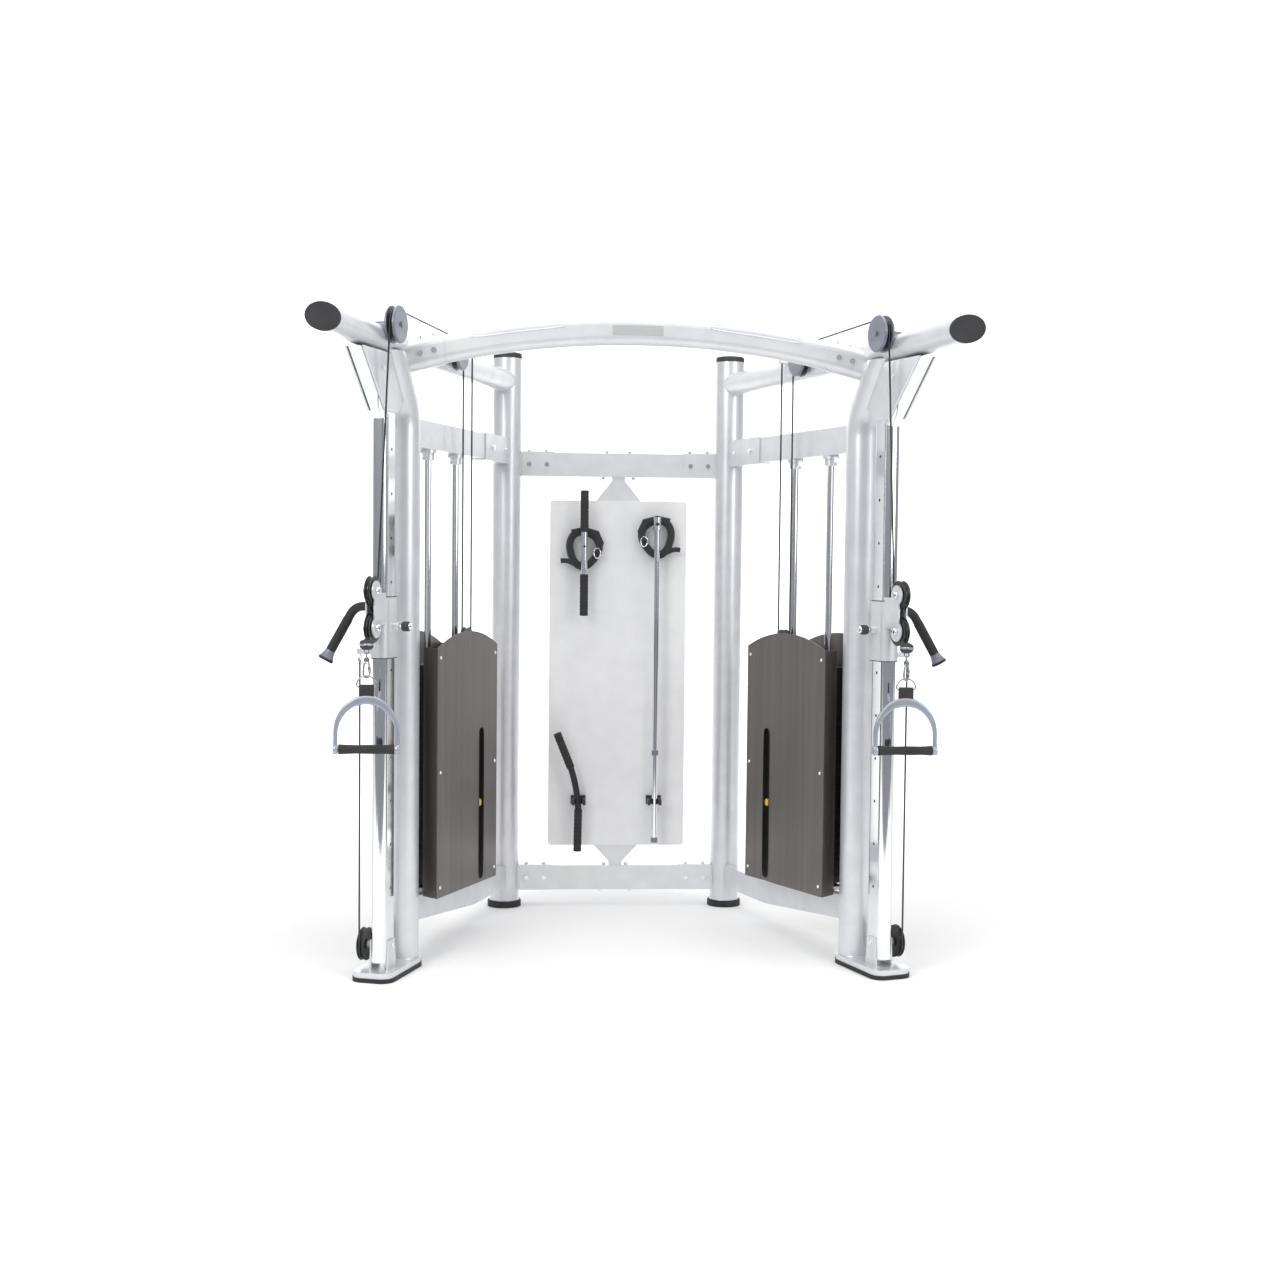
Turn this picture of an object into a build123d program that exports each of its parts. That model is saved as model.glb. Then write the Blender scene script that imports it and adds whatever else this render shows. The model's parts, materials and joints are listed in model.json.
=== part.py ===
"""Cable crossover machine: two angled wings with weight stacks, joined by an arch and rear bars.

Frame: +Z up, the user stands at -Y, origin on the floor at the middle of the footprint.
A wing is drawn in its own frame: u runs forward from the rear post, v runs inward towards the
machine's middle, z is up. place_left() and place_right() put wing shapes in the machine.
"""
from build123d import *
from math import atan2, cos, degrees, hypot, radians, sin
import os

# Driving dimensions, millimetres
REAR_X = 445            # half the distance between the rear posts
FRONT_X = 785           # half the distance between the front posts
DEPTH = 1015            # rear post to front post along Y
REAR_Y = 768            # rear posts' place, which centres the footprint
POST_R = 57
TUBE_WALL = 3
POST_TOP = 2190
CAP_TOP = 2212
FOOT_TOP = 26
HORN_R = 44.5
BRACE_Z = 2100
HORN_U = 1700
HORN_RISE = 24
HORN_START_U = 1150
CAP_ANGLE = 35          # how far the horn's end is cut inward
PLATE_TOP = 32          # top of the front foot plate
GUIDE_U = 1235
GUIDE_DEEP = 100
GUIDE_WIDE = 54
GUIDE_CORNER = 24
GUIDE_TOP = 2060
HOLE_Z = 1170
HOLE_PITCH = 145
PIN_R = 5
FIT = 0.06              # running clearance on the radius
WHEEL_R = 55            # outside radius of a pulley wheel
GROOVE_R = 50           # radius of the cable's line
CABLE_R = 3
AXLE_R = 6
TOP_V = 62              # plane of the top pulleys
TOP_U = 1287
TOP_Z = 2150
BACK_U = 715
BACK_Z = 2125
CAR_V = 10              # plane of the carriage pulleys
CAR_U = 1353
CAR_WHEEL_R = 48
CAR_GROOVE_R = 43
CAR_HIGH_Z = 1288
CAR_LOW_Z = 1168
SLEEVE_LOW = 1066
SLEEVE_HIGH = 1266
SLEEVE_WALL = 6
BASE_V = -68
BASE_U = 1222
BASE_Z = 104
STACK_U = 710
ROD_SPAN = 270
ROD_R = 12.5
ROD_TOP = 1775
PLATE_H = 30
STACK_LOW = 246
LOW_PLATES = 8
HIGH_PLATES = 17
PICK_U = 582            # selector pin
SHROUD_V = 110
PANEL_Y = REAR_Y - 28
ARCH_Y = REAR_Y - 1071
ARCH_Z = 2165
ARCH_R = 2972
ARCH_HIGH = 95
ARCH_DEEP = 62

WING_LEN = hypot(FRONT_X - REAR_X, DEPTH)
WING_ANGLE = degrees(atan2(FRONT_X - REAR_X, DEPTH))
STACK_SPLIT = STACK_LOW + LOW_PLATES * PLATE_H
STACK_TOP = STACK_SPLIT + HIGH_PLATES * PLATE_H
PICK_Z = STACK_SPLIT + PLATE_H / 2
FLOAT_U = BACK_U - GROOVE_R - 45
FLOAT_Z = STACK_TOP + 100


def place_left(shape):
    return Pos(-REAR_X, REAR_Y, 0) * Rot(0, 0, -90 - WING_ANGLE) * shape


def place_right(shape):
    return mirror(place_left(shape), about=Plane.YZ)


def save(name, *shapes):
    solids = [s for shape in shapes for s in shape.solids()]
    export_step(solids[0] if len(solids) == 1 else Compound(children=solids), f"parts/{name}.step")


def save_both(name, *shapes):
    """One node that holds the left and the right copy."""
    save(name, *[place_left(s) for s in shapes], *[place_right(s) for s in shapes])


def save_each(name, *shapes):
    """A left node and a right node."""
    save("left_" + name, *[place_left(s) for s in shapes])
    save("right_" + name, *[place_right(s) for s in shapes])


def box(u0, u1, v0, v1, z0, z1):
    return Pos((u0 + u1) / 2, (v0 + v1) / 2, (z0 + z1) / 2) * Box(u1 - u0, v1 - v0, z1 - z0)


def post(u, v, z0, z1, r):
    return Pos(u, v, (z0 + z1) / 2) * Cylinder(r, z1 - z0)


def across(u, z, v0, v1, r):
    """A round bar along v."""
    return Pos(u, (v0 + v1) / 2, z) * Rot(90, 0, 0) * Cylinder(r, v1 - v0)


def along(points, radii, profile):
    """A section swept along straight runs joined by arcs."""
    path = FilletPolyline(*points, radius=radii) if len(points) > 2 else Line(*points)
    return sweep((path ^ 0) * profile, path=path)


def bar(a, b, r):
    return along([a, b], 0, Circle(r))


def side_plate(outline, v0, v1):
    """A plate in the u-z plane between two v values; outline is a face drawn in x-y."""
    return Pos(0, v1, 0) * Rot(90, 0, 0) * extrude(outline, v1 - v0)


def bolt(u, z, v, outward, r=9, h=6):
    """A domed bolt head on a face of constant v."""
    head = across(u, z, *sorted((v, v + outward * h)), r)
    face = head.faces().sort_by(Axis.Y)[-1 if outward > 0 else 0]
    return fillet(face.edges(), 2.5)


# Tube frame
HORN_PATH = [(0, 0, BRACE_Z), (HORN_START_U, 0, BRACE_Z), (HORN_U + 120, 0, BRACE_Z + HORN_RISE)]
FRONT_PATH = [(WING_LEN, 0, PLATE_TOP), (WING_LEN, 0, 1885), (WING_LEN + 190, 0, BRACE_Z + 50)]
horn_core = along(HORN_PATH, 500, Circle(HORN_R))
front_core = along(FRONT_PATH, 170, Circle(POST_R))
rear_core = post(0, 0, FOOT_TOP, POST_TOP, POST_R)


def horn_end(offset, depth):
    """The block beyond the horn's slanted end, shifted along the cut's normal."""
    block = Rot(0, 0, CAP_ANGLE) * Pos(offset + depth / 2, 0, 0) * Box(depth, 300, 300)
    return Pos(HORN_U, 0, BRACE_Z + HORN_RISE) * block


def rear_posts():
    tube = rear_core - post(0, 0, FOOT_TOP, POST_TOP, POST_R - TUBE_WALL)
    save_both("rear_posts", tube)


def front_posts():
    tube = front_core - along(FRONT_PATH, 170, Circle(POST_R - TUBE_WALL)) - horn_core
    tube -= box(900, 1500, -200, 200, BRACE_Z - 26, BRACE_Z + 200)
    save_both("front_posts", tube)


def top_braces():
    tube = horn_core - along(HORN_PATH, 500, Circle(HORN_R - TUBE_WALL)) - rear_core
    save_both("top_braces", tube - horn_end(0, 400))


def end_caps():
    rear = post(0, 0, POST_TOP, CAP_TOP, POST_R)
    rear = fillet(rear.edges().sort_by(Axis.Z)[-1], 8)
    horn = (horn_core & horn_end(0, 400)) - horn_end(5, 400)
    save_both("end_caps", rear, horn)


def middle_braces():
    beam = box(0, WING_LEN, -25, 25, 1775, 1870)
    beam -= rear_core + front_core
    sleeve = box(60, 330, -29, 29, 1771, 1874) - box(0, 400, -25, 25, 1775, 1870) - rear_core
    save_both("middle_braces", beam, sleeve)


def lower_braces():
    path = [(0, 0, 128), (420, 0, 128), (WING_LEN, 0, 193)]
    beam = along(path, 600, Rectangle(84, 50))
    if beam.bounding_box().size.Y > 60:
        beam = along(path, 600, Rectangle(50, 84))
    beam -= rear_core + front_core
    deck = box(STACK_U - 190, STACK_U + 190, -55, 55, 222, 234)
    legs = [box(STACK_U + du - 20, STACK_U + du + 20, -24, 24, 140, 222) for du in (-150, 150)]
    save_both("lower_braces", beam, deck + (legs[0] + legs[1] - beam))


def rear_crossbars(hangers):
    cores = place_left(rear_core) + place_right(rear_core)
    bars = [Pos(0, REAR_Y, (lo + hi) / 2) * Box(2 * REAR_X, 50, hi - lo) - cores
            for lo, hi in ((1726, 1820), (67, 165))]
    save("rear_crossbars", *bars, *hangers)


def arch_point(x):
    return (x, ARCH_Y, ARCH_Z - ARCH_R + (ARCH_R**2 - x**2) ** 0.5)


def arch_sweep(half, high, deep):
    path = ThreePointArc(arch_point(-half), arch_point(0), arch_point(half))
    plane = Plane(origin=arch_point(-half), x_dir=(0, 1, 0), z_dir=path % 0)
    return sweep(plane * RectangleRounded(deep, high, min(deep, high) / 2 - 1), path=path)


def arch_crossbar():
    sides = place_left(horn_core) + place_right(horn_core) + place_left(front_core)
    inner_ends = place_left(box(900, 1500, -400, 40, 1900, 2300))
    sides += place_right(front_core) + inner_ends + mirror(inner_ends, about=Plane.YZ)
    tube = arch_sweep(790, ARCH_HIGH, ARCH_DEEP) - sides
    tube = tube.solids().sort_by(SortBy.VOLUME)[-1]
    save("arch_crossbar", tube)
    sleeve = arch_sweep(790, ARCH_HIGH + 8, ARCH_DEEP + 8) - arch_sweep(800, ARCH_HIGH, ARCH_DEEP)
    sleeve -= sides + Pos(0, ARCH_Y, ARCH_Z) * Box(1290, 300, 400)
    ends = [s for s in sleeve.solids() if s.volume > 5000 and abs(s.center().X) < 770]
    return ends


def crossbar_brackets(arch_ends):
    plates = []
    for lo, hi in ((1726, 1820), (67, 165)):
        for side in (-1, 1):
            face = Pos(side * 322, REAR_Y - 27, (lo + hi) / 2) * Box(130, 4, hi - lo)
            top = Pos(side * 322, REAR_Y - 2, hi + 2) * Box(130, 54, 4)
            plates.append(face + top)
    save("crossbar_brackets", *arch_ends, *plates)


def frame_bolts(arch_ends):
    heads = []
    for lo, hi in ((1726, 1820), (67, 165)):
        for x in (-357, -287, 287, 357):
            head = Pos(x, REAR_Y - 32, (lo + hi) / 2) * Rot(90, 0, 0) * Cylinder(9, 6)
            heads += [head, Pos(x, REAR_Y, hi + 8) * Cylinder(8, 8)]
        heads += [Pos(x, REAR_Y, hi + 5) * Cylinder(8, 10) for x in (-45, 45)]
        heads += [Pos(x, REAR_Y, lo - 5) * Cylinder(8, 10) for x in (-60, 60)]
    for x in (-725, -680, 680, 725):
        z = arch_point(x)[2]
        heads.append(Pos(x, ARCH_Y - ARCH_DEEP / 2 - 7, z) * Rot(90, 0, 0) * Cylinder(9, 6))
        heads.append(Pos(x, ARCH_Y, z + ARCH_HIGH / 2 + 7) * Cylinder(8, 10))
    for end in [*arch_ends, arch_sweep(800, ARCH_HIGH, ARCH_DEEP)]:
        heads = [head - end for head in heads]
    wing = [bolt(250, 1822, 29, 1, 12, 8), bolt(110, 1822, 29, 1, 9, 6)]
    wing += [bolt(1325, 2010, 33.5, 1), bolt(1325, 2010, -33.5, -1), bolt(GUIDE_U, 108, 33.5, 1)]
    save("frame_bolts", *heads, *[f(s) for f in (place_left, place_right) for s in wing])


# Accessory panel
def accessory_panel():
    board = Pos(0, PANEL_Y, 940) * Box(546, 20, 1381)
    board = fillet(board.edges().filter_by(Axis.Y), 12)
    save("accessory_panel", board)


def panel_hangers():
    hangers = []
    for z0, z1, wide_z in ((1631, 1726, 1631), (165, 249, 249)):
        upright = Pos(0, REAR_Y, (z0 + z1) / 2) * Box(52, 40, z1 - z0)
        tip = z1 - 15 if wide_z == z0 else z0 + 15
        face = Polyline((-90, wide_z), (90, wide_z), (26, tip), (-26, tip), close=True)
        web = Pos(0, REAR_Y - 17, 0) * Rot(90, 0, 0) * extrude(make_face(face), 5)
        tab_z = wide_z + (-30 if wide_z == z0 else 30)
        tab = Pos(0, REAR_Y - 11, tab_z) * Box(180, 14, 60)
        hangers.append(upright + web + tab)
    return hangers


FRONT_OF_PANEL = PANEL_Y - 10
BAR_Y = FRONT_OF_PANEL - 70
LOW_PEGS = ((-152, 434), (150, 434))


def peg(x, z, reach, r=5):
    return Pos(x, FRONT_OF_PANEL - reach / 2, z) * Rot(90, 0, 0) * Cylinder(r, reach)


def accessory_hooks():
    parts = [peg(-138, 1490, 50), peg(-138, 1448, 90), peg(150, 1538, 92)]
    for x, z in LOW_PEGS:
        pad = Pos(x, FRONT_OF_PANEL - 6, z) * Box(60, 12, 34)
        arms = [Pos(x + s * 22, FRONT_OF_PANEL - 50, z) * Box(10, 80, 22) for s in (-1, 1)]
        parts.append(pad + arms[0] + arms[1])
    save("accessory_hooks", *parts)


def eye(x, z, y):
    """A flat hanging ring round a peg."""
    return Pos(x, y, z) * Rot(90, 0, 0) * (Cylinder(17, 8) - Cylinder(7, 8))


def accessories():
    rod = Pos(-138, BAR_Y, 1421) * Cylinder(13, 495)
    grips = [Pos(-138, BAR_Y, z) * Cylinder(16, 165) for z in (1258, 1584)]
    link = Pos(-138, BAR_Y, 1421) * Box(20, 30, 60)
    hole = peg(-138, 1448, 130, 7)
    save("straight_bar", rod + grips[0] + grips[1] + link - hole)
    long_rod = Pos(150, BAR_Y, 895.5) * Cylinder(11, 1249)
    save("long_bar", long_rod + (Pos(150, BAR_Y, 1541) * Cylinder(15, 50)) - peg(150, 1538, 140, 7))
    bent = along([(-240, BAR_Y, 708), (-152, BAR_Y, 490), (-156, BAR_Y, 236)], 60, Circle(14))
    save("bent_bar", bent)
    for side, x, z in (("left", -138, 1441.5), ("right", 152, 1489.5)):
        ring = Cylinder(82, 34) - Cylinder(54, 34)
        save(side + "_ankle_strap", Pos(x, FRONT_OF_PANEL - 28, z) * Rot(90, 0, 0) * ring)


# Wing: feet, guide and pulleys
def foot_outline():
    return make_hull([e for u, v, r in ((WING_LEN, 0, 68), (1290, -38, 42), (1290, 24, 42))
                      for e in (Pos(u, v) * Circle(r)).edges()])


def feet():
    pad = extrude(foot_outline(), 14)
    plate = Pos(0, 0, 14) * extrude(offset(foot_outline(), -3), PLATE_TOP - 14)
    save_both("foot_plates", plate)
    disc = fillet(post(0, 0, 0, FOOT_TOP, 67).edges().sort_by(Axis.Z)[-1], 6)
    bumps = [post(STACK_U + s * ROD_SPAN / 2, 0, 234, STACK_LOW, 24)
             - post(STACK_U + s * ROD_SPAN / 2, 0, 230, 250, ROD_R) for s in (-1, 1)]
    save_both("rubber_feet", pad, disc, *bumps)


def guide_section(grow):
    return RectangleRounded(GUIDE_DEEP + 2 * grow, GUIDE_WIDE + 2 * grow, GUIDE_CORNER + grow)


GUIDE_BEND = [(GUIDE_U, 0, 1868), (GUIDE_U + 260, 0, 2140)]


def guide_core(grow, low=56):
    """Solid guide section up to the bend and along the slope."""
    straight = Pos(GUIDE_U, 0, low) * extrude(guide_section(grow), 1868 - low)
    (u0, _, z0), (u1, _, z1) = GUIDE_BEND
    lean = degrees(atan2(u1 - u0, z1 - z0))
    slope = Pos(u0, 0, z0) * Rot(0, lean, 0) * Pos(0, 0, -60) * extrude(guide_section(grow), 420)
    bisector = Pos(u0, 0, z0) * Rot(0, lean / 2, 0)
    straight = Pos(GUIDE_U, 0, low) * extrude(guide_section(grow), 1980 - low)
    straight -= bisector * Pos(0, 0, 300) * Box(900, 300, 600)
    slope &= bisector * Pos(0, 0, 300) * Box(900, 300, 600)
    return straight + slope


def guide_tubes(collars):
    tube = guide_core(0) - guide_core(-3, 50)
    tube -= box(1100, 1800, -100, 100, GUIDE_TOP, 2400)
    for step in range(-6, 5):
        tube -= across(GUIDE_U, HOLE_Z + step * HOLE_PITCH, 0, 60, PIN_R + FIT)
    save_both("guide_tubes", tube)
    web = make_face(Polyline((1120, 1945), (1120, 2061), (1478, 2061), (1296, 1872), (1200, 1872),
                             close=True))
    clevis = make_face(Polyline((1200, PLATE_TOP), (1270, PLATE_TOP), (1260, 128), (1212, 128),
                                close=True))
    parts = []
    for v0, v1 in ((27, 33.5), (-33.5, -27)):
        parts += [side_plate(web, v0, v1) - front_core - horn_core, side_plate(clevis, v0, v1)]
    axle = across(BASE_U, BASE_Z, BASE_V - 12, -33.5, AXLE_R)
    cap = across(BASE_U, BASE_Z, BASE_V - 18, BASE_V - 12, 12)
    collar = across(BASE_U, BASE_Z, BASE_V + 10, -33.5, 12)
    save_both("guide_brackets", *[s for p in parts for s in p.solids()], axle + cap + collar, *collars)


def wheel(u, z, v, outer=WHEEL_R):
    """A grooved pulley wheel on an axis along v."""
    half = 9
    rim = Polyline((AXLE_R + FIT, -half), (outer, -half), (outer - 9, -2), (outer - 9, 2),
                   (outer, half), (AXLE_R + FIT, half), close=True)
    body = revolve(Rot(90, 0, 0) * make_face(rim), Axis.Z)
    rings = [Pos(0, 0, s * 8) * (Cylinder(outer - 14, 4) - Cylinder(18, 4)) for s in (-1, 1)]
    return Pos(u, v, z) * Rot(90, 0, 0) * (body - rings[0] - rings[1])


def cover(u, z, v, outward):
    """A domed disc beside a top pulley; v is its inner face."""
    disc = across(u, z, *sorted((v, v + outward * 8)), 61)
    face = disc.faces().sort_by(Axis.Y)[-1 if outward > 0 else 0]
    return fillet(face.edges(), 6)


def top_pulleys():
    for name, u, z in (("top_front_pulley", TOP_U, TOP_Z), ("top_rear_pulley", BACK_U, BACK_Z)):
        save_each(name, wheel(u, z, TOP_V))
    fixed = []
    for u, z in ((TOP_U, TOP_Z), (BACK_U, BACK_Z)):
        stub = across(u, z, -10, TOP_V - 17, 12) - horn_core
        stub = stub.solids().sort_by(SortBy.VOLUME)[-1]
        axle = across(u, z, TOP_V - 17, TOP_V + 12, AXLE_R)
        head = across(u, z, TOP_V + 19, TOP_V + 25, 9)
        inner = cover(u, z, TOP_V + 11, 1)
        outer = cover(u, z, TOP_V - 10, -1)
        outer -= horn_core
        fixed.append(stub + outer + axle + inner + head)
    save_both("pulley_covers", *fixed)


def carriage():
    sleeve = Pos(GUIDE_U, 0, SLEEVE_LOW) * extrude(guide_section(SLEEVE_WALL),
                                                   SLEEVE_HIGH - SLEEVE_LOW)
    bore = Pos(GUIDE_U, 0, 0) * extrude(guide_section(FIT), 2000)
    rounds = [Pos(CAR_U, z) * Circle(33) for z in (CAR_HIGH_Z, CAR_LOW_Z)]
    web = Pos(CAR_U - 32, (CAR_HIGH_Z + CAR_LOW_Z) / 2) * Rectangle(96, 104)
    outline = rounds[0] + rounds[1] + web
    body = sleeve
    for v0, v1 in ((CAR_V - 17, CAR_V - 12), (CAR_V + 12, CAR_V + 17)):
        body += side_plate(outline, v0, v1)
    for z in (CAR_HIGH_Z, CAR_LOW_Z):
        body += across(CAR_U, z, CAR_V - 24, CAR_V + 24, AXLE_R)
        body += across(CAR_U, z, CAR_V + 17, CAR_V + 24, 11)
        body += across(CAR_U, z, CAR_V - 24, CAR_V - 17, 11)
        for v in (CAR_V - 12, CAR_V + 10):
            body += across(CAR_U, z, v, v + 2, 10)
    body += across(GUIDE_U - 20, HOLE_Z, 20, 58, 13)
    body += box(1255, 1281, BASE_V - 8, -20, SLEEVE_LOW + 12, SLEEVE_LOW + 30)
    pin_line = GUIDE_U
    body += across(pin_line, HOLE_Z, 20, 58, 13)
    body -= bore
    body -= across(pin_line, HOLE_Z, 0, 60, PIN_R + FIT)
    save_each("carriage", body.solids().sort_by(SortBy.VOLUME)[-1])
    for name, z in (("upper", CAR_HIGH_Z), ("lower", CAR_LOW_Z)):
        save_each(f"carriage_{name}_pulley", wheel(CAR_U, z, CAR_V, CAR_WHEEL_R))


def pop_pin():
    pin = across(GUIDE_U, HOLE_Z, GUIDE_WIDE / 2 + 0.6, 64, PIN_R)
    knob = across(GUIDE_U, HOLE_Z, 60, 98, 17)
    knob = fillet(knob.edges().filter_by(GeomType.CIRCLE), 5)
    save_each("pop_pin", pin + knob)


def lever():
    start_v = -GUIDE_WIDE / 2 - SLEEVE_WALL
    path = [(1248, start_v - 0.5, 1234), (1248, -96, 1234), (1290, -180, 1062)]
    grip = along(path, 45, Circle(15))
    tip = Vector(1290, -180, 1062)
    way = (tip - Vector(*path[1])).normalized()
    plane = Plane(origin=tip - way * 2, z_dir=way)
    flange = plane * Pos(0, 0, 5) * Cylinder(26, 10)
    save_each("adjust_lever", grip + fillet(flange.edges().filter_by(GeomType.CIRCLE), 3))


# Hanging handle: the grip lies along the machine's X axis
HANG_U = CAR_U + CAR_GROOVE_R


def hang(shape):
    """Put a shape drawn about the hanging line, with x across the machine, in the wing frame."""
    return Pos(HANG_U, CAR_V, 0) * Rot(0, 0, 90 + WING_ANGLE) * shape


def handle():
    ball = Pos(0, 0, 1116) * Sphere(18)
    chain = [Pos(0, 0, z) * Rot(90, 0, a) * Torus(9, 2.2)
             for z, a in ((1096, 0), (1086, 90), (1076, 0))]
    stem = Pos(0, 0, 1145) * Cylinder(3, 40)
    clip = Pos(0, 0, 1042) * Rot(90, 0, 0) * (extrude(SlotOverall(66, 26, 90), 8)
                                              - extrude(SlotOverall(50, 13, 90), 8))
    core = Pos(0, 0, 1090) * Cylinder(2.5, 46)
    hook = ball + stem + chain[0] + chain[1] + chain[2] + core + Rot(0, 0, 90) * Pos(0, 4, 0) * clip
    save_each("handle_hook", hang(hook.solids().sort_by(SortBy.VOLUME)[-1]))
    dring = Pos(0, 0, 1000) * Rot(90, 0, 0) * Torus(22, 3)
    strap = Pos(0, 0, 962) * Box(34, 12, 44)
    arch = [(-100, 0, 780), (-100, 0, 850), (-74, 0, 944), (74, 0, 944), (100, 0, 850), (100, 0, 780)]
    bow = along(arch, [60, 50, 50, 60], Rectangle(14, 22))
    ends = [Pos(s * 100, 0, 778) * Rot(0, 90, 0) * Cylinder(17, 14) for s in (-1, 1)]
    spindle = Pos(0, 0, 778) * Rot(0, 90, 0) * Cylinder(5, 200)
    save_each("handle_bow", hang(bow + ends[0] + ends[1] + spindle + strap + dring))
    grip = Pos(0, 0, 778) * Rot(0, 90, 0) * (Cylinder(15.5, 182) - Cylinder(5 + FIT, 182))
    save_each("handle_grip", hang(grip))


def cables():
    save_each("upper_cable", bar((TOP_U + GROOVE_R, TOP_V, TOP_Z), (CAR_U - CAR_GROOVE_R, CAR_V,
                                                                    CAR_HIGH_Z), CABLE_R))
    low_u = BASE_U + GROOVE_R
    save_each("lower_cable", bar((low_u, BASE_V, BASE_Z), (low_u, BASE_V, SLEEVE_LOW + 12), CABLE_R))
    top = bar((BACK_U, TOP_V, BACK_Z + GROOVE_R), (TOP_U, TOP_V, TOP_Z + GROOVE_R), CABLE_R)
    run = bar((BASE_U, BASE_V, BASE_Z - GROOVE_R), (1160, BASE_V, BASE_Z - GROOVE_R), CABLE_R)
    clamp = box(1136, 1160, BASE_V, -52, PLATE_TOP, BASE_Z - GROOVE_R + 10)
    clamp += box(1136, 1160, BASE_V - 8, BASE_V, BASE_Z - GROOVE_R - 10, BASE_Z - GROOVE_R + 10)
    save_both("fixed_cables", top, run, clamp - front_core)
    save_each("base_pulley", wheel(BASE_U, BASE_Z, BASE_V))
    save_each("lift_cable",
              bar((BACK_U - GROOVE_R, TOP_V, BACK_Z), (BACK_U - GROOVE_R, TOP_V, FLOAT_Z), CABLE_R),
              bar((FLOAT_U - 45, TOP_V, BACK_Z), (FLOAT_U - 45, TOP_V, FLOAT_Z), CABLE_R))


# Weight stack
def rod_holes(r):
    return [post(STACK_U + s * ROD_SPAN / 2, 0, 200, 1300, r) for s in (-1, 1)]


def plate_block(z0, count):
    block = box(STACK_U - 180, STACK_U + 180, -48, 48, z0, z0 + count * PLATE_H - 0.5)
    for step in range(1, count):
        z = z0 + step * PLATE_H
        ring = box(STACK_U - 190, STACK_U + 190, -60, 60, z - 1, z + 1)
        block -= ring - box(STACK_U - 176, STACK_U + 176, -44, 44, z - 2, z + 2)
    return block


def weight_stack():
    holes = rod_holes(ROD_R + FIT)
    lower = plate_block(STACK_LOW, LOW_PLATES) - holes[0] - holes[1]
    lower -= post(PICK_U + 30, 0, 200, STACK_SPLIT, 13)
    save_both("lower_weight_plates", lower)
    upper = plate_block(STACK_SPLIT, HIGH_PLATES)
    upper += box(STACK_U - 180, STACK_U + 180, -48, 84, STACK_TOP - 0.5, STACK_TOP + 24)
    upper += post(PICK_U + 30, 0, STACK_LOW + 4, STACK_SPLIT + 20, 10)
    upper -= holes[0] + holes[1]
    upper -= across(PICK_U, PICK_Z, 14, 60, PIN_R + FIT)
    cheek = make_face(Polyline((FLOAT_U - 30, STACK_TOP + 20), (FLOAT_U + 30, STACK_TOP + 20),
                               (FLOAT_U + 16, FLOAT_Z + 16), (FLOAT_U - 16, FLOAT_Z + 16), close=True))
    for v0, v1 in ((TOP_V - 16, TOP_V - 11), (TOP_V + 11, TOP_V + 16)):
        upper += side_plate(cheek, v0, v1)
    upper += across(FLOAT_U, FLOAT_Z, TOP_V - 18, TOP_V + 18, AXLE_R)
    save_each("lifted_plates", upper)
    save_each("stack_pulley", wheel(FLOAT_U, FLOAT_Z, TOP_V, 50))
    pin = across(PICK_U, PICK_Z, 16, 92, PIN_R)
    knob = fillet(across(PICK_U, PICK_Z, 86, 105, 12).edges().filter_by(GeomType.CIRCLE), 3)
    save_each("selector_pin", pin + knob)


def rods_and_collars():
    rods = [post(STACK_U + s * ROD_SPAN / 2, 0, 234, ROD_TOP, ROD_R) for s in (-1, 1)]
    save_both("guide_rods", *rods)
    collars = []
    for s in (-1, 1):
        u = STACK_U + s * ROD_SPAN / 2
        ring = post(u, 0, 1738, 1775, 22) + post(u, 0, 1762, 1775, 30)
        ring += box(u + 15, u + 38, -8, 8, 1748, 1770)
        collars.append(ring - post(u, 0, 1700, 1775, ROD_R))
    lug = box(FLOAT_U - 57, FLOAT_U - 33, 20, TOP_V + 10, BACK_Z, BACK_Z + 16) - horn_core
    return collars + [lug]


def shrouds():
    """Bent sheets on both faces of the stack: a main panel, a front flange and a rear flange."""
    rear_u, fold_u, thick = 425, 1030, 2.5
    edge = Polyline((rear_u, 1077), (rear_u, 202), (fold_u, 228), (fold_u, 1089))
    crown = ThreePointArc((fold_u, 1089), (690, 1135), (rear_u, 1077))
    outline = make_face(edge.edges() + crown.edges())
    slot = Pos(PICK_U + 10, 500) * RectangleRounded(50, 556, 20)
    front = Pos(fold_u, SHROUD_V, 0) * Rot(0, 0, 62) * box(-72, 0, 0, thick, 228, 1089)
    back = Pos(rear_u, SHROUD_V, 0) * Rot(0, 0, -120) * box(0, 98, 0, thick, 202, 1077)
    inner = side_plate(outline - slot, SHROUD_V, SHROUD_V + thick)
    outer = side_plate(outline, SHROUD_V, SHROUD_V + thick)
    flanges = [front - outer, back - outer]
    mirrored = [mirror(piece, about=Plane.XZ) for piece in (outer, *flanges)]
    save_both("shrouds", inner, *flanges, *mirrored)


if __name__ == "__main__":
    os.makedirs("parts", exist_ok=True)
    rear_posts()
    front_posts()
    top_braces()
    end_caps()
    middle_braces()
    lower_braces()
    rear_crossbars(panel_hangers())
    arch_ends = arch_crossbar()
    crossbar_brackets(arch_ends)
    frame_bolts(arch_ends)
    accessory_panel()
    accessory_hooks()
    accessories()
    feet()
    guide_tubes(rods_and_collars())
    top_pulleys()
    carriage()
    pop_pin()
    lever()
    handle()
    cables()
    weight_stack()
    shrouds()
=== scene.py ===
"""Looks of the cable crossover machine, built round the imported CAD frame. Metres, +Z up, user at -Y."""
import json
from math import atan2, cos, pi, sin, tau

import bmesh
import bpy
from mathutils import Matrix, Vector


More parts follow.
